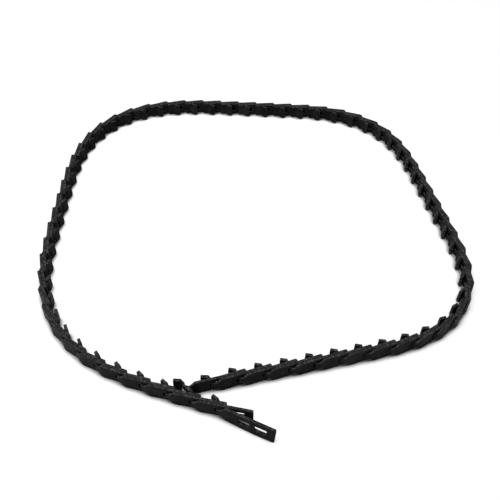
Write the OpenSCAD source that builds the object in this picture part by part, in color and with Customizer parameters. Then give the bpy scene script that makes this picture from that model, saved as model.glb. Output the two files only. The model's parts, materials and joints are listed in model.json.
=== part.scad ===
// Twist-lock link belt, 13 mm section, opened at one joint and stood on its side edge.
// Every link is a separate moulded plate: a tongue with a T-shaped head, a slotted upper
// layer and a slotted lower layer. The head of each link passes through the front slot of
// the link behind it and the rear slot of the link before that, and locks on the inside.
// Millimetres. +Z is up, the belt stands on the outer edge of its side walls at Z = 0,
// and the origin is the centre of the box round the loop, on the surface it stands on.

/* [Belt] */
// Number of links
link_count = 64; // [40:1:80]
// Distance between two links
pitch = 19.05; // [15:0.05:25]
// Width across the outer face
belt_w = 13; // [10:0.5:22]
// Angle of each side wall of the V section
side_angle = 18; // [10:1:22]
// Height of the square edge of the outer face
edge_land = 0.7; // [0.3:0.1:1.5]

/* [Layers] */
// Thickness of one layer
layer_t = 2.3; // [1.5:0.05:3.5]
// Clearance between two layers
layer_gap = 0.15; // [0.1:0.05:0.5]
// Length of the link past its second hinge line
tail_len = 18.5; // [14:0.1:22]
// Chamfer on the inner edge of the tail
tail_chamfer = 2; // [0.5:0.1:3]
// Size of the chamfered tail corners seen from outside
tail_corner = 1.2; // [0.4:0.1:2]

/* [Slots] */
// Distance from a hinge line to the slot behind it
slot_start = 3.8; // [2:0.1:6]
// Length of each slot
slot_len = 10.87; // [7:0.01:14]
// Width of each slot
slot_w = 5.4; // [3:0.1:8]

/* [Tongue] */
// Width of the tongue's neck
neck_w = 4.6; // [2.5:0.1:7]
// Length of the tapered shoulder before the hinge line
shoulder_len = 3.8; // [2:0.1:6]
// Distance past the hinge line where the link reaches full width
corner_x = 0.6; // [0.2:0.1:3]
// Width of the T-head
head_w = 8.3; // [6:0.1:12]
// Thickness of the T-head
head_t = 2.3; // [1.5:0.05:3.5]
// Length of the T-head
head_len = 4.6; // [3:0.1:7]
// Size of the chamfered corners of the T-head
head_corner = 0.9; // [0.3:0.1:2]
// Backward lean of the T-head
head_lean = 20; // [0:1:40]
// Distance from the hinge line back to the heel of the T-head
heel_back = 9.7; // [7:0.1:12]
// Clearance between the heel and the layer that it locks
heel_gap = 0.2; // [0.1:0.05:1]

/* [First link] */
// Depth of the first link's free T-head below its outer face
free_depth = 5; // [3:0.1:8]
// Length of the free T-head
free_len = 6; // [4:0.1:8]
// Lean of the free T-head
free_lean = 15; // [0:1:40]

/* [Lay of the belt] */
// Link at the middle of the first corner
corner_1_at = 11.7; // [8:0.1:16]
// Turn of the first corner
corner_1_turn = 87; // [60:0.5:100]
// Half width of the first corner in links
corner_1_half = 5.8; // [4:0.1:9]
// Link at the middle of the second corner
corner_2_at = 25.4; // [20:0.1:30]
// Turn of the second corner
corner_2_turn = 76.5; // [60:0.5:100]
// Half width of the second corner in links
corner_2_half = 6; // [4:0.1:9]
// Link at the middle of the third corner
corner_3_at = 40; // [36:0.1:45]
// Turn of the third corner
corner_3_turn = 93.4; // [60:0.2:100]
// Half width of the third corner in links
corner_3_half = 7.7; // [4:0.1:9]
// Link at the middle of the fourth corner
corner_4_at = 55; // [50:0.1:58]
// Turn of the fourth corner
corner_4_turn = 71.6; // [50:0.2:90]
// Half width of the fourth corner in links
corner_4_half = 7.4; // [4:0.1:9]
// Direction of the second link, from +X towards +Y
start_heading = 14; // [0:0.5:30]
// Turn at the first hinge
first_turn = 4; // [0:0.5:8]
// Turn at the last hinge, away from the loop
last_turn = -12; // [-15:0.5:0]

/* [Movement] */
// Least turn that each hinge opens by
least_opening = 1; // [0.5:0.1:3]
// Turn that the last link's hinge opens by
last_opening = 6; // [1:0.5:10]

/* [Hidden] */
layer_step = layer_t + layer_gap;
slope = atan(layer_step / pitch);
slope_tan = layer_step / pitch;
// Turn below which two cells count as lying in line.
in_line = 0.6;
// Length of a cutter, well past every solid.
through = 60;
rubber = [0.20, 0.20, 0.21];
corners = [
    [corner_1_at, corner_1_turn, corner_1_half],
    [corner_2_at, corner_2_turn, corner_2_half],
    [corner_3_at, corner_3_turn, corner_3_half],
    [corner_4_at, corner_4_turn, corner_4_half]
];
// Links that share a node with the link after them, each where the belt lies straight.
paired = [3, 19, 32, 48];

// Smooth turn of one corner at hinge k.
function corner_bend(k, c) =
    abs(k - c[0]) < c[2] ? c[1] / c[2] * (0.5 + 0.5 * cos(180 * (k - c[0]) / c[2])) : 0;
function total(v, i = 0) = i < len(v) ? v[i] + total(v, i + 1) : 0;

// Bend at the hinge before link k, positive towards the inside of the loop.
function bend(k) =
    k < 2 || k > link_count ? 0 :
    total([for (c = corners) corner_bend(k - 1, c)])
    + (k == 2 ? first_turn : 0) + (k == link_count ? last_turn : 0);

// Bend between the two layers of link k. The last link turns away from the one before it,
// so that one stays straight.
function tail_bend(k) = k + 1 == link_count ? 0 : bend(k + 1);

// How far the same hinge opens.
function opening(k) = k == link_count ? last_opening : max(bend(k), least_opening);

// Hinge points and directions of the links, before centring.
headings = [for (k = 1, a = start_heading - first_turn; k <= link_count; k = k + 1, a = a + bend(k)) a];
function along(k) = let (a = headings[min(k, link_count - 1)]) [cos(a), sin(a)];
raw_points = [
    for (k = 0, p = [0, 0]; k <= link_count; p = p + pitch * along(k), k = k + 1) p
];
function turned(a, v) = [cos(a) * v[0] - sin(a) * v[1], sin(a) * v[0] + cos(a) * v[1]];

// A point given in the cell behind link k (before its first hinge), in link k's own cell.
function from_behind(k, p) =
    turned(-bend(k), p - [pitch, layer_step]) + [0, layer_step];
// A point given in the cell after link k (past its second hinge), in link k's own cell.
function from_ahead(k, p) =
    turned(tail_bend(k), p - [0, layer_step]) + [pitch, layer_step];

// Side view of the two-layer plate with its shoulder, in link k's own cell.
function plate_points(k) =
    let (b0 = bend(k), b1 = tail_bend(k))
    let (lift = tan(opening(k)) / 2, dip = tan(opening(k + 1)) / 2)
    // where the shoulder's outer face meets the plate's outer face
    let (mitre = b0 == 0 ? 0 : -layer_step * (1 - cos(b0)) / (cos(b0) * (slope_tan + tan(b0))))
    let (root = pitch - shoulder_len - 0.5, dip_x = slot_start + slot_len + 0.2)
    let (end = tail_len - tail_chamfer)
    // inner corner where the two layers meet
    let (fold = layer_t * cos(slope) / cos(b1 / 2))
    [
        from_behind(k, [root, 0]),
        [mitre, mitre * slope_tan],
        [0.6 * pitch, 0.6 * layer_step],
        [dip_x, dip_x * slope_tan + (pitch - dip_x) * dip],
        [pitch, layer_step],
        from_ahead(k, [tail_len, layer_step + tail_len * slope_tan]),
        from_ahead(k, [tail_len, layer_step + tail_len * slope_tan + layer_t - 0.6 * tail_chamfer]),
        from_ahead(k, [end, layer_step + end * slope_tan + layer_t]),
        [pitch, layer_step] + fold * [-sin(slope + b1 / 2), cos(slope + b1 / 2)],
        [0, layer_t],
        from_behind(k, [root, root * slope_tan - layer_gap - (pitch - root) * lift])
    ];

// Box round all the plates, which the origin is centred under.
corner_points = [
    for (k = [1:link_count])
        for (p = plate_points(k))
            raw_points[k - 1] + turned(headings[k - 1], p - [0, layer_step])
];
xs = [for (p = corner_points) p[0]];
ys = [for (p = corner_points) p[1]];
middle = [(min(xs) + max(xs)) / 2, (min(ys) + max(ys)) / 2];

function two(n) = n < 10 ? str("0", n) : str(n);
function starts_pair(k) = len([for (p = paired) if (p == k) p]) > 0;
function ends_pair(k) = len([for (p = paired) if (p + 1 == k) p]) > 0;
first_links = [for (k = [1:link_count]) if (!ends_pair(k)) k];
function node_name(k) = starts_pair(k) ? str("links_", two(k), "_", two(k + 1)) : str("link_", two(k));

// Puts its children into the cell of link k.
module in_cell(k) {
    translate([raw_points[k - 1][0] - middle[0], raw_points[k - 1][1] - middle[1], belt_w / 2])
        rotate([0, 0, headings[k - 1]])
            translate([0, -layer_step, 0])
                children();
}

// Puts its children into the cell behind, seen from link k's own cell.
module behind(k) {
    translate([0, layer_step, 0])
        rotate([0, 0, -bend(k)])
            translate([-pitch, -layer_step, 0])
                children();
}

// Puts its children into the cell ahead, seen from link k's own cell.
module ahead(k) {
    translate([pitch, layer_step, 0])
        rotate([0, 0, tail_bend(k)])
            translate([0, -layer_step, 0])
                children();
}

// V section of the belt, from x0 to x1 along a cell.
module v_section(x0, x1) {
    half = belt_w / 2;
    deep = 15;
    inner = half - (deep - edge_land) * tan(side_angle);
    translate([x0, 0, 0])
        rotate([90, 0, 90])
            linear_extrude(x1 - x0)
                polygon([[-3, half], [edge_land, half], [deep, inner], [deep, -inner], [edge_land, -half], [-3, -half]]);
}

// Side walls of link k along its three cells. Cells that lie nearly in line share one section.
module side_walls(k) {
    turns_behind = abs(bend(k)) > in_line;
    turns_ahead = abs(tail_bend(k)) > in_line;
    v_section(turns_behind ? -0.4 : -0.7 * pitch, turns_ahead ? pitch + 0.4 : pitch + tail_len + 2);
    if (turns_behind)
        behind(k) v_section(0.3 * pitch, pitch + 0.4);
    if (turns_ahead)
        ahead(k) v_section(-0.4, tail_len + 2);
}

// Outline of the link seen from outside: the shoulder taper.
module shoulder_outline() {
    n = neck_w / 2 + 0.15;
    w = belt_w / 2 + 1;
    polygon([
        [-shoulder_len - 2, -n], [-shoulder_len, -n], [corner_x, -w], [3 * pitch, -w],
        [3 * pitch, w], [corner_x, w], [-shoulder_len, n], [-shoulder_len - 2, n]
    ]);
}

// Cuts its plan outline through the whole depth of a cell.
module through_depth() {
    translate([0, through / 2, 0])
        rotate([90, 0, 0])
            linear_extrude(through)
                children();
}

// Slot that lets a T-head through, in a cell.
module slot() {
    through_depth()
        translate([slot_start, -slot_w / 2])
            square([slot_len, slot_w]);
}

// Cuts off the two corners of the tail, in the cell where it lies.
module tail_corners() {
    half = belt_w / 2 - (layer_step + tail_len * slope_tan - edge_land) * tan(side_angle);
    through_depth()
        for (side = [-1, 1])
            polygon([
                [tail_len - tail_corner - 2, side * (half + 2)],
                [tail_len + 2, side * (half - tail_corner - 2)],
                [tail_len + 2, side * (half + 2)]
            ]);
}

// The slotted plate of link k.
module plate(k) {
    difference() {
        intersection() {
            linear_extrude(belt_w + 2, center = true)
                polygon(plate_points(k));
            side_walls(k);
            through_depth() shoulder_outline();
        }
        slot();
        ahead(k) {
            slot();
            tail_corners();
        }
    }
}

// Depth of the heel of link k's T-head, in the cell behind. It rests on the layer that it
// locks, and stays clear of it when the hinges on both sides have opened.
function heel_depth(k) =
    let (x = pitch - heel_back, a = opening(k), b = opening(k - 1))
    let (rest = layer_step + x * slope_tan + layer_t + heel_gap)
    let (c0 = heel_clearance(x, 0, a, b), c1 = heel_clearance(x, 1, a, b) - c0)
    max(rest, (heel_gap + 0.05 - c0) / c1);

function heel_clearance(x, d, a, b) =
    let (v = [pitch, 0] + turned(-a, [x - pitch, d - layer_step]))
    let (w = turned(-b, v))
    w[1] - layer_t - w[0] * slope_tan;

// T-head of that length, from its heel at the origin back along -X.
module t_head(size) {
    half = head_w / 2;
    translate([0, head_t, 0])
        rotate([90, 0, 0])
            linear_extrude(head_t)
                polygon([
                    [0, -half], [0, half], [head_corner - size, half], [-size, half - head_corner],
                    [-size, head_corner - half], [head_corner - size, -half]
                ]);
}

// Tongue of link k: its neck and T-head, in the cell behind it.
module tongue(k) {
    free = k == 1;
    x = free ? pitch / 2 : pitch - heel_back;
    d = free ? free_depth : heel_depth(k);
    lean = free ? free_lean : head_lean;
    size = free ? free_len : head_len;
    back = [-cos(lean), sin(lean)];
    inward = [sin(lean), cos(lean)];
    heel = [x, d];
    lift = tan(opening(k)) / 2;
    elbow = pitch - shoulder_len - 1.2;
    under = elbow * slope_tan - layer_gap - (pitch - elbow) * lift - 0.05;
    root = pitch - 1.9;
    under_root = root * slope_tan - layer_gap - (pitch - root) * lift - 0.1;
    translate(heel)
        rotate([0, 0, -lean])
            t_head(size);
    linear_extrude(neck_w, center = true)
        polygon([
            [root, 0.02],
            [elbow, 0.02],
            [0.66 * pitch, 1.3],
            [x + 0.6, d - 0.6],
            heel + 0.5 * back + 0.5 * inward,
            heel + 0.5 * back + 0.9 * head_t * inward,
            heel - 0.6 * back + head_t * inward,
            [x + 2.5, d - 0.4],
            [elbow - 0.2, 3.2],
            [elbow, under],
            [root, under_root]
        ]);
}

// One whole link, placed in the belt.
module link(k) {
    in_cell(k)
        union() {
            plate(k);
            behind(k) tongue(k);
        }
}

// One node: a link, or two links where the belt lies straight.
module belt_node(k) {
    color(rubber) {
        link(k);
        if (starts_pair(k))
            link(k + 1);
    }
}

for (k = first_links)
    belt_node(k);
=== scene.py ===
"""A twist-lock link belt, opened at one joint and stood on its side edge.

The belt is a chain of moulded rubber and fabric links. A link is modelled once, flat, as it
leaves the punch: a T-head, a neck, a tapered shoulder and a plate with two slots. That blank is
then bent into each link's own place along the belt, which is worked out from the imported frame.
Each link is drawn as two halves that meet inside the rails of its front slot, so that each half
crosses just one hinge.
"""

from __future__ import annotations

import json
import logging
import math
import random
from dataclasses import dataclass, field
from enum import Enum

import bmesh
import bpy
import numpy as np
from mathutils import Matrix, Vector

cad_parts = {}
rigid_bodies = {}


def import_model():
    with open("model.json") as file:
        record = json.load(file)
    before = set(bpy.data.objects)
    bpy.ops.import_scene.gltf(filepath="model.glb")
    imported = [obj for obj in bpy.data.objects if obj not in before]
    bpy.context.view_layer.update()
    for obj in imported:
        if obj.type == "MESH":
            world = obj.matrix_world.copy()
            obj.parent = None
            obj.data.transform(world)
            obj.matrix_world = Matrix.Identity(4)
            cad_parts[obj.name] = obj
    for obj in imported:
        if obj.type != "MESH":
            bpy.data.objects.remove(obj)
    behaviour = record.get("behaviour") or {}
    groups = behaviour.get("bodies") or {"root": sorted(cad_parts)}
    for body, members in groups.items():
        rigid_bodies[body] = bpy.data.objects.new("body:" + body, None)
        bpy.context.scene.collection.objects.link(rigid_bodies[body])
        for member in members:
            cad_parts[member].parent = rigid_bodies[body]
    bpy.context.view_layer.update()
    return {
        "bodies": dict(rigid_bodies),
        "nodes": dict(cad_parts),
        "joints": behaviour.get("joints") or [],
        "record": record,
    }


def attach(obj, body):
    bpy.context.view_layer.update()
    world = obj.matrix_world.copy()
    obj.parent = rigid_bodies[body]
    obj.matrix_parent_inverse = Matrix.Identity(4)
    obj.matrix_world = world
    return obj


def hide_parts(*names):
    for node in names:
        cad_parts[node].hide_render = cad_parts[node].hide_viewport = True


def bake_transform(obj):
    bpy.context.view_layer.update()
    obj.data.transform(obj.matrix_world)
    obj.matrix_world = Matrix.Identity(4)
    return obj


LOG = logging.getLogger("link_belt")
MM = 0.001
WAVE_SCALE = 0.314  # Scale of a wave texture whose bands lie one unit apart.


class Half(Enum):
    """The two halves that a link is drawn in."""

    TONGUE = "tongue"
    PLATE = "plate"


@dataclass(frozen=True)
class LinkShape:
    """Sizes of one link, in millimetres.

    A station is a distance along the flat blank from the link's first hinge line. The plate
    lies ahead of that line, and the shoulder, neck and T-head behind it.
    """

    pitch: float = 19.05
    width: float = 13.0
    side_angle: float = 9.0
    edge_land: float = 0.7
    layer: float = 2.3
    gap: float = 0.15
    tail: float = 18.3
    tail_chamfer: float = 0.6
    tail_corner: float = 1.0
    slot_start: float = 10.4
    slot_length: float = 8.0
    slot_width: float = 4.9
    slot_corner: float = 0.8
    slot_rim: float = 0.3
    tail_slot_start: float = 22.2
    tail_slot_length: float = 9.2
    full_width_at: float = -0.3
    full_width_corner: float = 0.6
    shoulder: float = 3.8
    shoulder_corner: float = 1.0
    neck_width: float = 4.8
    neck_flare: float = 0.15
    neck_length: float = 9.0
    neck_corner: float = 0.5
    head_width: float = 11.4
    head_length: float = 6.4
    head_taper: float = 1.0
    head_corner: float = 0.9
    barb_corner: float = 0.35
    edge_round: float = 0.2
    cut_step: float = 0.9
    cut_shift: float = 0.37
    halves_meet: float = 11.6
    hinge_reach: float = 4.0

    @property
    def step(self) -> float:
        """Depth from one layer to the next."""
        return self.layer + self.gap

    @property
    def slope(self) -> float:
        """Angle, in radians, at which a link leans into the belt."""
        return math.atan2(self.step, self.pitch)

    @property
    def thickness(self) -> float:
        """Thickness of the blank, square to its faces."""
        return self.layer * math.cos(self.slope)

    @property
    def tail_end(self) -> float:
        """Station of the tail's end."""
        return (self.pitch + self.tail) / math.cos(self.slope)

    @property
    def tongue_root(self) -> float:
        """Station behind which the neck and the T-head leave the belt's section."""
        return -self.shoulder - 1

    @property
    def heel(self) -> float:
        """Station of the T-head's heel."""
        return -self.shoulder - self.neck_length

    @property
    def head_end(self) -> float:
        """Station of the T-head's end."""
        return self.heel - self.head_length


@dataclass(frozen=True)
class Hook:
    """How a link's T-head hangs behind its first hinge, in millimetres and degrees."""

    back: float = 7.7
    depth: float = 5.6
    length: float = 6.3
    lean: float = 22.0


class Blank:
    """The flat link: its outline and slots, with rounded edges, cut into strips that can bend.

    Distances are in millimetres, and the least angle of a rim that gets rounded is in radians.
    """

    CORNER_SEGMENTS = 4
    EDGE_SEGMENTS = 2
    ROUND_PROFILE = 0.5
    RIM_ANGLE = 1.0
    SAME_LEVEL = 1e-6
    MERGE_DISTANCE = 1e-4
    CUT_DISTANCE = 1e-3

    def __init__(self, shape: LinkShape) -> None:
        """Builds the whole blank.

        Args:
            shape: sizes of the link.
        """
        self.shape = shape
        self.mesh = bmesh.new()
        self.punch()
        self.thicken()
        self.round_edges()
        self.cut_strips()

    def corners(self) -> list[tuple[float, float, float]]:
        """Corners of the half outline with its half slots, each with its rounding."""
        s = self.shape
        slot, half = s.slot_width / 2, s.width / 2
        neck, head = s.neck_width / 2, s.head_width / 2
        first = (s.slot_start, s.slot_start + s.slot_length)
        second = (s.tail_slot_start, s.tail_slot_start + s.tail_slot_length)
        return [
            (s.head_end, 0, 0),
            (s.head_end, head, s.head_corner),
            (s.heel - s.head_taper, head, s.barb_corner),
            (s.heel, neck, s.neck_corner),
            (-s.shoulder, neck + s.neck_flare, s.shoulder_corner),
            (s.full_width_at, half, s.full_width_corner),
            (s.tail_end, half, s.tail_corner),
            (s.tail_end, 0, 0),
            (second[1], 0, 0),
            (second[1], slot, s.slot_corner),
            (second[0], slot, s.slot_corner),
            (second[0], 0, 0),
            (first[1], 0, 0),
            (first[1], slot, s.slot_corner),
            (first[0], slot, s.slot_corner),
            (first[0], 0, 0),
        ]

    def punch(self) -> None:
        """Lays out one half of the outline, rounds its corners and mirrors it."""
        bm = self.mesh
        corners = self.corners()
        verts = [bm.verts.new((station, across, 0)) for station, across, _ in corners]
        bm.faces.new(verts)
        for vert, (_, _, radius) in zip(verts, corners):
            if radius:
                bmesh.ops.bevel(
                    bm, geom=[vert], offset=radius, offset_type="OFFSET",
                    segments=self.CORNER_SEGMENTS, profile=self.ROUND_PROFILE,
                    affect="VERTICES", material=-1,
                )
        everything = bm.verts[:] + bm.edges[:] + bm.faces[:]
        bmesh.ops.mirror(bm, geom=everything, axis="Y", merge_dist=self.MERGE_DISTANCE)
        bmesh.ops.recalc_face_normals(bm, faces=bm.faces[:])

    def thicken(self) -> None:
        """Extrudes the outline to the blank's thickness."""
        bm = self.mesh
        grown = bmesh.ops.extrude_face_region(bm, geom=bm.faces[:])["geom"]
        moved = [g for g in grown if isinstance(g, bmesh.types.BMVert)]
        bmesh.ops.translate(bm, verts=moved, vec=(0, 0, self.shape.thickness))
        bmesh.ops.recalc_face_normals(bm, faces=bm.faces[:])

    def round_edges(self) -> None:
        """Rounds the rim of both faces and of both slots."""
        rim = [
            e for e in self.mesh.edges
            if len(e.link_faces) == 2 and e.calc_face_angle() > self.RIM_ANGLE
            and abs(e.verts[0].co.z - e.verts[1].co.z) < self.SAME_LEVEL
        ]
        bmesh.ops.bevel(
            self.mesh, geom=rim, offset=self.shape.edge_round, offset_type="OFFSET",
            segments=self.EDGE_SEGMENTS, profile=self.ROUND_PROFILE, affect="EDGES",
            clamp_overlap=True, material=-1,
        )

    def cut_strips(self) -> None:
        """Cuts the blank across at even stations, and along both rails."""
        s = self.shape
        count = round((s.tail_end - s.head_end) / s.cut_step)
        for i in range(1, count):
            self.slice((s.head_end + (i + s.cut_shift) * s.cut_step, 0, 0), (1, 0, 0))
        rail = (s.slot_width + s.width) / 4
        for side in (-rail, rail):
            self.slice((0, side, 0), (0, 1, 0))

    def slice(self, point: tuple, normal: tuple) -> None:
        """Cuts every face that a plane crosses.

        Args:
            point: a point on the plane.
            normal: the direction square to it.
        """
        bm = self.mesh
        everything = bm.verts[:] + bm.edges[:] + bm.faces[:]
        bmesh.ops.bisect_plane(bm, geom=everything, dist=self.CUT_DISTANCE, plane_co=point,
                               plane_no=normal)

    def half(self, which: Half) -> bmesh.types.BMesh:
        """A closed copy of one half of the blank.

        Args:
            which: the tongue with the front of the plate, or the rest of the plate.

        Returns:
            The new mesh, which the caller frees.
        """
        bm = self.mesh.copy()
        everything = bm.verts[:] + bm.edges[:] + bm.faces[:]
        bmesh.ops.bisect_plane(
            bm, geom=everything, dist=self.CUT_DISTANCE, plane_co=(self.shape.halves_meet, 0, 0),
            plane_no=(1, 0, 0), clear_outer=which is Half.TONGUE, clear_inner=which is Half.PLATE,
        )
        bmesh.ops.holes_fill(bm, edges=[e for e in bm.edges if e.is_boundary], sides=0)
        bmesh.ops.recalc_face_normals(bm, faces=bm.faces[:])
        return bm


class SideView:
    """Side view of a link in a straight belt: the line through the middle of its thickness.

    The handles and the kink are in millimetres. The neck's handles shape its curve from the heel
    to the shoulder, and the kink is how far the bend at the first hinge line spreads to each side.
    """

    HEEL_HANDLE = (1.0, -2.1)
    ROOT_HANDLE = (-4.8, 0.5)
    KINK = 1.4
    KINK_DEPTH = 1.02
    KINK_FULLNESS = 0.7
    LEAST_ROOM = 0.75
    NECK_THINNING = 0.15
    NECK_FADE = 2.0
    SLOPE_SPAN = 0.3

    def __init__(self, shape: LinkShape, hook: Hook) -> None:
        """Lays the line out from the T-head's end to the tail's end.

        Args:
            shape: sizes of the link.
            hook: where its T-head hangs.
        """
        self.shape = shape
        half = shape.thickness / 2
        lean = math.radians(hook.lean)
        back = Vector((-math.cos(lean), math.sin(lean)))
        heel = Vector((-hook.back, hook.depth)) + half * Vector((math.sin(lean), math.cos(lean)))
        root = Vector((-shape.shoulder, half * self.room(-shape.shoulder)))
        neck = self.bezier(heel, heel + Vector(self.HEEL_HANDLE), root + Vector(self.ROOT_HANDLE),
                           root)
        run = Vector((math.cos(shape.slope), math.sin(shape.slope)))
        plate = half * Vector((-run.y, run.x))
        kink, full = self.KINK, self.KINK_FULLNESS
        before = Vector((-kink, half * self.room(-kink)))
        after = kink * run + plate
        middle = Vector((0, half * self.KINK_DEPTH))
        rise = self.bezier(before, before.lerp(middle, full), after.lerp(middle, full), after)
        line = [heel + hook.length * back, *neck, *rise, shape.tail_end * run + plate]
        self.x, self.depth = np.array([tuple(p) for p in line]).T
        neck_share = np.linspace(shape.heel, -shape.shoulder, len(neck))
        rise_share = np.linspace(-kink, kink, len(rise))
        self.station = np.concatenate([[shape.head_end], neck_share, rise_share, [shape.tail_end]])

    @staticmethod
    def bezier(a: Vector, b: Vector, c: Vector, d: Vector, count: int = 20) -> list[Vector]:
        """Points on the cubic curve from a to d with handles b and c."""
        return [
            (1 - t) ** 3 * a + 3 * (1 - t) ** 2 * t * b + 3 * (1 - t) * t**2 * c + t**3 * d
            for t in (i / count for i in range(count + 1))
        ]

    def room(self, x: np.ndarray | float) -> np.ndarray | float:
        """Share of the full thickness that the link behind leaves under the shoulder at x."""
        s = self.shape
        free = (s.pitch + x) * math.tan(s.slope) - s.gap
        return np.clip(free / s.thickness, self.LEAST_ROOM, 1.0)

    def place(self, station: np.ndarray, level: np.ndarray) -> tuple[np.ndarray, np.ndarray]:
        """Places points of the blank in the side view.

        Args:
            station: their stations.
            level: 0 on the outer face to 1 on the inner face.

        Returns:
            Their distances along the belt, and their depths under its outer face.
        """
        s = self.shape
        x, depth = (np.interp(station, self.station, line) for line in (self.x, self.depth))
        near, far = station - self.SLOPE_SPAN, station + self.SLOPE_SPAN
        run_x = np.interp(far, self.station, self.x) - np.interp(near, self.station, self.x)
        run_d = np.interp(far, self.station, self.depth) - np.interp(near, self.station, self.depth)
        length = np.hypot(run_x, run_d)
        neck = np.clip((station - s.heel) / self.NECK_FADE, 0, 1)
        share = np.where(station > s.tongue_root, self.room(x), 1 - self.NECK_THINNING * neck)
        offset = (level - 0.5) * s.thickness * share
        chamfer = np.clip((station - s.tail_end) / s.tail_chamfer + 1, 0, 1)
        offset = offset - chamfer * level * s.thickness / 2
        return x - run_d / length * offset, depth + run_x / length * offset


class BeltLay:
    """Where each link lies: hinge points and directions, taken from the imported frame."""

    def __init__(self, frame: dict, shape: LinkShape, first_turn: float, last_turn: float) -> None:
        """Reads the hinges of the frame and works out the two ends.

        Args:
            shape: sizes of a link.
            first_turn: turn at the first hinge, in degrees.
            last_turn: turn at the last hinge, in degrees.
        """
        self.shape = shape
        self.node_of: dict[int, str] = {}
        for node in frame["nodes"]:
            for number in node.split("_")[1:]:
                self.node_of[int(number)] = node
        self.count = len(self.node_of)
        found = {int(j["name"].split("_")[-1]): j["pos_m"] for j in frame["joints"]}
        hinges = {k: Vector(p[:2]) / MM for k, p in found.items()}
        for k in range(3, self.count):
            if k not in hinges:
                hinges[k] = (hinges[k - 1] + hinges[k + 1]) / 2
        runs = {k: hinges[k + 1] - hinges[k] for k in range(2, self.count)}
        self.heading = {k: math.atan2(run.y, run.x) for k, run in runs.items()}
        self.heading[1] = self.heading[2] - math.radians(first_turn)
        self.heading[self.count] = self.heading[self.count - 1] + math.radians(last_turn)
        hinges[1] = hinges[2] - shape.pitch * self.direction(1)
        self.hinge = hinges

    def direction(self, link: int) -> Vector:
        """Unit vector along a link, from its first hinge to its second."""
        return Vector((math.cos(self.heading[link]), math.sin(self.heading[link])))

    def bend(self, link: int) -> float:
        """Bend, in radians, at the hinge before a link: positive is towards the inside."""
        if link < 2 or link > self.count:
            return 0.0
        turn = self.heading[link] - self.heading[link - 1]
        return (turn + math.pi) % (2 * math.pi) - math.pi

    def tail_bend(self, link: int) -> float:
        """Bend between a link's two layers. It is none where the next link turns away."""
        return max(0.0, self.bend(link + 1))

    def world(self, link: int, x: np.ndarray, depth: np.ndarray) -> tuple[np.ndarray, np.ndarray]:
        """Bends a straight link into its place.

        Args:
            link: its number.
            x: distances along the straight belt from its first hinge.
            depth: depths under the outer face.

        Returns:
            Their places on the floor plan, in millimetres.
        """
        s = self.shape
        reach = s.hinge_reach
        in_from_axis = depth - s.step
        behind = 1 - self.smooth((x + reach) / (2 * reach))
        ahead = self.smooth((x - s.pitch + reach) / (2 * reach))
        angle = self.tail_bend(link) * ahead - self.bend(link) * behind
        centre = np.where(x > s.pitch / 2, s.pitch, 0.0)
        u = centre + (x - centre) * np.cos(angle) - in_from_axis * np.sin(angle)
        v = (x - centre) * np.sin(angle) + in_from_axis * np.cos(angle)
        along = self.direction(link)
        start = self.hinge[link]
        return start.x + along.x * u - along.y * v, start.y + along.y * u + along.x * v

    @staticmethod
    def smooth(t: np.ndarray) -> np.ndarray:
        """Smooth step from 0 to 1."""
        t = np.clip(t, 0, 1)
        return t * t * (3 - 2 * t)


class NodeTree:
    """Short calls for building a material's or the world's nodes."""

    def __init__(self, owner: bpy.types.Material | bpy.types.World) -> None:
        """Empties the owner's node tree."""
        owner.use_nodes = True
        self.tree = owner.node_tree
        self.tree.nodes.clear()

    def add(self, kind: str, settings: dict | None = None, **inputs: object) -> bpy.types.Node:
        """Adds a node.

        Args:
            kind: its type, without the ShaderNode prefix.
            settings: properties to set on it.
            inputs: sockets by name, with _ for a space, each a value or another socket.

        Returns:
            The new node.
        """
        node = self.tree.nodes.new("ShaderNode" + kind)
        for name, value in (settings or {}).items():
            setattr(node, name, value)
        for name, value in inputs.items():
            self.feed(self.socket(node, name), value)
        return node

    @staticmethod
    def socket(node: bpy.types.Node, name: str) -> bpy.types.NodeSocket:
        """The enabled input of that name, or of that number where the name is like i0."""
        if name[0] == "i" and name[1:].isdigit():
            return node.inputs[int(name[1:])]
        return next(s for s in node.inputs if s.enabled and s.name == name.replace("_", " "))

    def feed(self, socket: bpy.types.NodeSocket, value: object) -> None:
        """Links a socket to the given one, or sets its value."""
        if isinstance(value, bpy.types.NodeSocket):
            self.tree.links.new(value, socket)
        else:
            socket.default_value = value

    def math(self, operation: str, a: object, b: object = 0.0) -> bpy.types.NodeSocket:
        """One calculation on two numbers."""
        return self.add("Math", {"operation": operation}, i0=a, i1=b).outputs[0]

    def ramp(self, value: object, low: float, high: float, start: float = 0.0,
             end: float = 1.0) -> bpy.types.NodeSocket:
        """Maps the values from low to high onto those from start to end, held at both ends."""
        node = self.add("MapRange", None, Value=value, From_Min=low, From_Max=high,
                        To_Min=start, To_Max=end)
        return node.outputs["Result"]

    def mix(self, share: object, a: object, b: object) -> bpy.types.NodeSocket:
        """Mixes two colours."""
        node = self.add("Mix", {"data_type": "RGBA"}, Factor=share)
        self.feed(node.inputs[6], a)
        self.feed(node.inputs[7], b)
        return node.outputs[2]

    def product(self, *factors: object) -> bpy.types.NodeSocket:
        """Multiplies numbers, from left to right."""
        result, *others = factors
        for factor in others:
            result = self.math("MULTIPLY", result, factor)
        return result

    def weigh(self, a: object, share_a: float, b: object, share_b: float) -> bpy.types.NodeSocket:
        """Adds two numbers, each times its share."""
        return self.math("ADD", self.product(a, share_a), self.product(b, share_b))

    def noise(self, place: object, scale: float, detail: float,
              roughness: float = 0.5) -> bpy.types.NodeSocket:
        """Noise with that many lumps to a millimetre."""
        node = self.add("TexNoise", None, Vector=place, Scale=scale, Detail=detail,
                        Roughness=roughness)
        return node.outputs[0]


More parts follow.
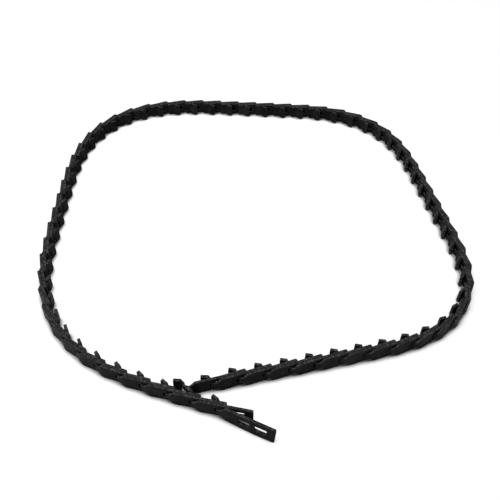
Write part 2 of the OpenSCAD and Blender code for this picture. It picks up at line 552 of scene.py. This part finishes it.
@dataclass(frozen=True)
class RubberFabric:
    """The links' finish: smooth pressed faces, and punched edges that show the fabric's plies.

    The relief and the weave, which is the distance from thread to thread, are in millimetres.
    """

    face_dark: tuple = (0.0030, 0.0032, 0.0038, 1)
    face_light: tuple = (0.0110, 0.0116, 0.0132, 1)
    edge_rubber: tuple = (0.0100, 0.0100, 0.0108, 1)
    edge_fibre: tuple = (0.1260, 0.1240, 0.1280, 1)
    scuff: tuple = (0.0400, 0.0400, 0.0425, 1)
    dust: tuple = (0.0190, 0.0181, 0.0156, 1)
    dust_cover: float = 0.34
    face_roughness: float = 0.42
    edge_roughness: float = 0.88
    gloss: float = 0.016
    relief: float = 0.12
    relief_strength: float = 0.8
    plies: float = 4.0
    weave: float = 0.6

    def build(self) -> bpy.types.Material:
        """Makes the material. Its patterns follow the blank, so they move with the rubber."""
        material = bpy.data.materials.new("rubber_fabric")
        nodes = NodeTree(material)
        place = nodes.add("Attribute", {"attribute_name": "blank"}).outputs["Vector"]
        shift = nodes.add("Attribute", {"attribute_name": "shift"}).outputs["Vector"]
        spot = nodes.add("VectorMath", {"operation": "ADD"}, i0=place, i1=shift).outputs[0]
        level = nodes.add("SeparateXYZ", None, Vector=place).outputs[2]
        outer = nodes.ramp(level, low=0.02, high=0.10)
        inner = nodes.ramp(level, low=0.90, high=0.98, start=1, end=0)
        edge = nodes.product(outer, inner)
        face_colour, face_height = self.face(nodes, spot)
        edge_colour, edge_height = self.punched_edge(nodes, spot, level)
        colour = nodes.mix(edge, face_colour, edge_colour)
        colour = nodes.mix(self.worn_rim(nodes, spot, edge), colour, self.scuff)
        dusty = nodes.noise(spot, scale=0.02, detail=1)
        dusty = nodes.ramp(dusty, low=0.54, high=0.66, end=self.dust_cover)
        colour = nodes.mix(dusty, colour, self.dust)
        height = nodes.add("Mix", {"data_type": "FLOAT"}, Factor=edge)
        nodes.feed(height.inputs[2], face_height)
        nodes.feed(height.inputs[3], edge_height)
        bump = nodes.add("Bump", None, Strength=self.relief_strength, Distance=self.relief * MM,
                         Height=height.outputs[0])
        grain = nodes.noise(spot, scale=2.2, detail=3)
        grain = nodes.ramp(grain, low=0.3, high=0.7, start=-0.06, end=0.08)
        rough = nodes.ramp(edge, low=0, high=1, start=self.face_roughness, end=self.edge_roughness)
        shader = nodes.add(
            "BsdfPrincipled", None, Base_Color=colour, Roughness=nodes.math("ADD", rough, grain),
            Normal=bump.outputs[0], Specular_IOR_Level=self.gloss,
        )
        nodes.add("OutputMaterial", None, Surface=shader.outputs[0])
        return material

    @staticmethod
    def worn_rim(nodes: NodeTree, spot: object, edge: object) -> bpy.types.NodeSocket:
        """Share of scuffed rubber, which lies where a face turns into an edge."""
        rim = nodes.product(edge, nodes.math("SUBTRACT", 1, edge), 4)
        worn = nodes.ramp(nodes.noise(spot, scale=1.3, detail=3), low=0.45, high=0.7)
        return nodes.product(rim, worn)

    def face(self, nodes: NodeTree, spot: object) -> tuple:
        """Colour and height of a pressed face: mottled rubber over the print of the fabric."""
        mottle = nodes.noise(spot, scale=0.16, detail=4, roughness=0.6)
        mottle = nodes.ramp(mottle, low=0.32, high=0.68)
        warp, weft = (
            nodes.add("TexWave", {"bands_direction": axis}, Vector=spot, Distortion=1.2,
                      Scale=WAVE_SCALE / self.weave, Detail=1.0).outputs[1]
            for axis in ("X", "Y")
        )
        printed = nodes.math("MAXIMUM", warp, weft)
        pits = nodes.ramp(nodes.noise(spot, scale=5, detail=2), low=0.35, high=0.65)
        height = nodes.weigh(printed, 0.28, pits, 0.22)
        return nodes.mix(mottle, self.face_dark, self.face_light), height

    def punched_edge(self, nodes: NodeTree, spot: object, level: object) -> tuple:
        """Colour and height of a punched edge: plies of cut fibre between rubber."""
        waver = nodes.noise(spot, scale=0.5, detail=3)
        waver = nodes.ramp(waver, low=0, high=1, start=-0.7, end=0.7)
        ply = nodes.math("ADD", nodes.product(level, self.plies), waver)
        band = nodes.ramp(nodes.math("PINGPONG", ply, 0.5), low=0.1, high=0.4)
        ends = nodes.add("TexVoronoi", None, Vector=spot, Scale=3.4).outputs["Distance"]
        ends = nodes.ramp(ends, low=0.05, high=0.55, start=1, end=0)
        bundles = nodes.add("TexVoronoi", None, Vector=spot, Scale=0.6).outputs["Distance"]
        bundles = nodes.ramp(bundles, low=0.15, high=0.6, start=1, end=0)
        fleck = nodes.noise(spot, scale=2.6, detail=4, roughness=0.7)
        fleck = nodes.ramp(fleck, low=0.42, high=0.66)
        cut_ends = nodes.ramp(ends, low=0, high=1, start=0.5, end=1)
        cut_bundles = nodes.ramp(bundles, low=0, high=1, start=0.25, end=1.5)
        share = nodes.product(nodes.weigh(band, 0.45, fleck, 0.55), cut_ends, cut_bundles)
        height = nodes.weigh(ends, 0.5, fleck, 0.5)
        return nodes.mix(share, self.edge_rubber, self.edge_fibre), height


@dataclass
class LinkBelt:
    """The whole belt: every link's two halves. A half rides with its link's body at the belt's two
    ends, on the plate of the second last link, or where its hinge lies inside that body; the others
    stay where they are built, on no body.

    The T-heads of the first two links hang in a way of their own, because fewer layers lie behind
    them. The last link is free, and twists: it leans more and more from the given station on.
    Angles are in degrees, the most twist in radians, and lengths in millimetres.
    """

    frame: dict
    shape: LinkShape = field(default_factory=LinkShape)
    hook: Hook = field(default_factory=Hook)
    free_hook: Hook = field(default_factory=lambda: Hook(8.7, 3.7, 6.8, 13.0))
    second_hook: Hook = field(default_factory=lambda: Hook(8.2, 3.9, 6.9, 10.0))
    end_tilt: float = 9.0
    end_tilt_from: float = -14.0
    end_tilt_over: float = 44.0
    first_turn: float = 4.0
    last_turn: float = -13.5
    most_twist: float = 0.008
    most_lift: float = 0.22
    most_shift: float = 400.0
    crease: float = 50.0
    seed: int = 64

    def build(self) -> int:
        """Makes every link and returns how many there are."""
        self.lay = BeltLay(self.frame, self.shape, self.first_turn, self.last_turn)
        self.finish = RubberFabric().build()
        blank = Blank(self.shape)
        halves = {which: blank.half(which) for which in Half}
        held, *special = (SideView(self.shape, hook)
                          for hook in (self.hook, self.free_hook, self.second_hook))
        chance = random.Random(self.seed)
        for link in range(1, self.lay.count + 1):
            view = special[link - 1] if link <= len(special) else held
            twist = chance.uniform(-self.most_twist, self.most_twist)
            lift = chance.uniform(0, self.most_lift)
            shift = [chance.uniform(-self.most_shift, self.most_shift) for _ in range(3)]
            for which, half in halves.items():
                name = f"link_{link:02d}_{which.value}"
                piece = self.make_half(half, name, link, view, twist, lift, shift)
                self.attach(piece, link, which)
        for half in halves.values():
            half.free()
        blank.mesh.free()
        return self.lay.count

    def make_half(self, half: bmesh.types.BMesh, name: str, link: int, view: SideView,
                  twist: float, lift: float, shift: list[float]) -> bpy.types.Object:
        """Makes one half of a link in its place.

        Args:
            half: the flat half.
            name: the piece's name.
            link: the link's number.
            view: the link's side view.
            twist: turn about the link's length, in radians.
            lift: how far the link's lower edge stands off the floor, in millimetres.
            shift: where this link's pattern starts, in millimetres.

        Returns:
            The new object.
        """
        mesh = bpy.data.meshes.new(name)
        half.to_mesh(mesh)
        flat = np.zeros(len(mesh.vertices) * 3, np.float32)
        mesh.vertices.foreach_get("co", flat)
        station, across, height = flat.reshape(-1, 3).T.astype(float)
        level = height / self.shape.thickness
        x, depth = view.place(station, level)
        across = self.side_walls(station, across, depth)
        half_width = self.shape.width / 2
        if link == self.lay.count:
            twisted = self.lay.smooth((station - self.end_tilt_from) / self.end_tilt_over)
            lean = math.tan(math.radians(self.end_tilt))
            depth = depth - twisted * (half_width - across) * lean
        depth = depth + across * math.tan(twist)
        plan_x, plan_y = self.lay.world(link, x, depth)
        up = half_width + across + lift * (1 - (across / self.shape.width + 0.5))
        place = np.stack([plan_x, plan_y, up], axis=1) * MM
        mesh.vertices.foreach_set("co", place.astype(np.float32).ravel())
        blank = mesh.attributes.new("blank", "FLOAT_VECTOR", "POINT")
        pattern = np.stack([station, across, level], axis=1)
        blank.data.foreach_set("vector", pattern.astype(np.float32).ravel())
        start = mesh.attributes.new("shift", "FLOAT_VECTOR", "POINT")
        start.data.foreach_set("vector", np.tile(shift, len(mesh.vertices)).astype(np.float32))
        mesh.polygons.foreach_set("use_smooth", [True] * len(mesh.polygons))
        mesh.set_sharp_from_angle(angle=math.radians(self.crease))
        mesh.materials.append(self.finish)
        piece = bpy.data.objects.new(name, mesh)
        bpy.context.scene.collection.objects.link(piece)
        normals = piece.modifiers.new("even_shading", "WEIGHTED_NORMAL")
        normals.keep_sharp = True
        return piece

    def side_walls(self, station: np.ndarray, across: np.ndarray, depth: np.ndarray) -> np.ndarray:
        """Draws the plate's rails in along the belt's V section.

        The rims of the slots keep their places, and so does the tongue.

        Args:
            station: stations of the points.
            across: their distances from the link's middle line.
            depth: their depths under the belt's outer face.

        Returns:
            Their new distances from the middle line.
        """
        s = self.shape
        core = s.slot_width / 2 + s.slot_rim
        drop = np.clip(depth - s.edge_land, 0, None)
        wall = s.width / 2 - drop * math.tan(math.radians(s.side_angle))
        share = (wall - core) / (s.width / 2 - core)
        outside = np.clip(np.abs(across) - core, 0, None)
        drawn = np.sign(across) * (np.abs(across) - outside * (1 - share))
        return np.where(station > s.tongue_root, drawn, across)

    def attach(self, piece: bpy.types.Object, link: int, which: Half) -> None:
        """Hides the link's CAD node. The half rides with that node's body at the belt's ends, on
        the plate of the second last link, or where its hinge lies inside that body; any other half
        is left where it was built.

        Args:
            piece: the half link.
            link: the link's number.
            which: which half it is.
        """
        lay, node = self.lay, self.lay.node_of[link]
        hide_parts(node)
        before = link - 1 if which is Half.TONGUE else link
        after = before + 1
        stiff = which is Half.PLATE and link == lay.count - 1
        ends = before < 1 or after > lay.count
        if stiff or ends or lay.node_of[before] == lay.node_of[after]:
            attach(piece, node)
            return
        hinge, reach = lay.hinge[after], self.shape.hinge_reach
        start = hinge - reach * lay.direction(before)
        end = hinge + reach * lay.direction(after)
        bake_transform(piece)


@dataclass(frozen=True)
class Lamp:
    """A square soft lamp that points at the belt: its place and side in metres, power in watts."""

    name: str
    place: tuple
    side: float
    power: float

    def hang(self) -> None:
        """Adds the lamp to the scene."""
        light = bpy.data.lights.new(self.name, "AREA")
        light.energy, light.size = self.power, self.side
        hung = bpy.data.objects.new(self.name, light)
        hung.location = self.place
        hung.rotation_euler = Vector(self.place).to_track_quat("Z", "Y").to_euler()
        bpy.context.scene.collection.objects.link(hung)


@dataclass
class Studio:
    """A plain white floor, soft light and the camera.

    Lengths are in metres and angles in degrees. The floor glows, so it shows as white as the
    surround. The glow goes out where the belt closes the floor in, which leaves a narrow painted
    shade.
    """

    camera_place: tuple = (-0.00311, -0.40133, 0.3981)
    look_down: float = 46.02
    roll: float = 1.11
    lens: float = 46.0
    clip: tuple = (0.01, 20)
    ambient: float = 0.13
    floor_side: float = 8.0
    floor_grey: tuple = (0.8, 0.8, 0.8, 1)
    glow: float = 1.05
    glow_share: float = 0.75
    painted_shade_reach: float = 0.008
    painted_shade_dark: float = 0.5
    painted_shade_clear: float = 0.74
    painted_shade_samples: int = 16
    lamps: tuple = (
        Lamp("key", (-0.35, -0.1, 1.2), side=0.6, power=20.0),
        Lamp("fill", (-1.0, -1.8, 1.2), side=1.4, power=11.0),
        Lamp("rim", (0.3, 0.9, 1.0), side=0.8, power=3.0),
    )

    def build(self) -> None:
        """Sets up the whole studio."""
        self.set_world()
        self.lay_floor()
        for lamp in self.lamps:
            lamp.hang()
        self.aim_camera()
        bpy.context.scene.view_settings.view_transform = "Standard"

    @staticmethod
    def seen_directly(nodes: NodeTree) -> bpy.types.NodeSocket:
        """1 for rays that show the thing itself, to the camera or in a gloss, and 0 for others."""
        path = nodes.add("LightPath")
        either = nodes.math("MAXIMUM", path.outputs["Is Camera Ray"], path.outputs["Is Glossy Ray"])
        return nodes.math("MAXIMUM", either, path.outputs["Is Transmission Ray"])

    def set_world(self) -> None:
        """A white surround that lights the scene more softly than it shows."""
        world = bpy.data.worlds.new("surround")
        bpy.context.scene.world = world
        nodes = NodeTree(world)
        seen = self.seen_directly(nodes)
        strength = nodes.ramp(seen, low=0, high=1, start=self.ambient, end=1)
        sky = nodes.add("Background", None, Color=(1, 1, 1, 1), Strength=strength)
        nodes.add("OutputWorld", None, Surface=sky.outputs[0])

    def lay_floor(self) -> None:
        """A white floor: its matt share keeps the belt's real shadow, and ambient occlusion dims
        its glow close to the belt, a painted shade.
        """
        bm = bmesh.new()
        bmesh.ops.create_grid(bm, x_segments=1, y_segments=1, size=self.floor_side / 2)
        mesh = bpy.data.meshes.new("floor")
        bm.to_mesh(mesh)
        bm.free()
        material = bpy.data.materials.new("white_floor")
        nodes = NodeTree(material)
        share = nodes.ramp(self.seen_directly(nodes), low=0, high=1, end=self.glow_share)
        # Painted shade: ambient occlusion dims the glow next to the belt, so the floor darkens
        # there beyond its real shadow.
        openness = nodes.add("AmbientOcclusion", {"samples": self.painted_shade_samples},
                             Distance=self.painted_shade_reach)
        strength = nodes.ramp(openness.outputs["AO"], low=self.painted_shade_dark, high=self.painted_shade_clear,
                              end=self.glow)
        matt = nodes.add("BsdfDiffuse", None, Color=self.floor_grey)
        glow = nodes.add("Emission", None, Color=(1, 1, 1, 1), Strength=strength)
        both = nodes.add("MixShader", None, Fac=share, i1=matt.outputs[0], i2=glow.outputs[0])
        nodes.add("OutputMaterial", None, Surface=both.outputs[0])
        mesh.materials.append(material)
        floor = bpy.data.objects.new("floor", mesh)
        bpy.context.scene.collection.objects.link(floor)

    def aim_camera(self) -> None:
        """Places the camera in front of the belt, looking down at it."""
        camera = bpy.data.objects.new("camera", bpy.data.cameras.new("camera"))
        camera.data.lens = self.lens
        camera.data.clip_start, camera.data.clip_end = self.clip
        tilt = Matrix.Rotation(math.radians(90 - self.look_down), 4, "X")
        roll = Matrix.Rotation(math.radians(self.roll), 4, "Z")
        place = Matrix.Translation(self.camera_place)
        camera.matrix_world = place @ tilt @ roll
        bpy.context.scene.collection.objects.link(camera)
        bpy.context.scene.camera = camera


def main() -> None:
    """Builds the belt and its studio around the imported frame."""
    logging.basicConfig(level=logging.INFO, format="%(name)s: %(message)s")
    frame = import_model()
    Studio().build()
    count = LinkBelt(frame).build()
    LOG.info("built %d links in two halves each", count)


if __name__ == "__main__":
    main()
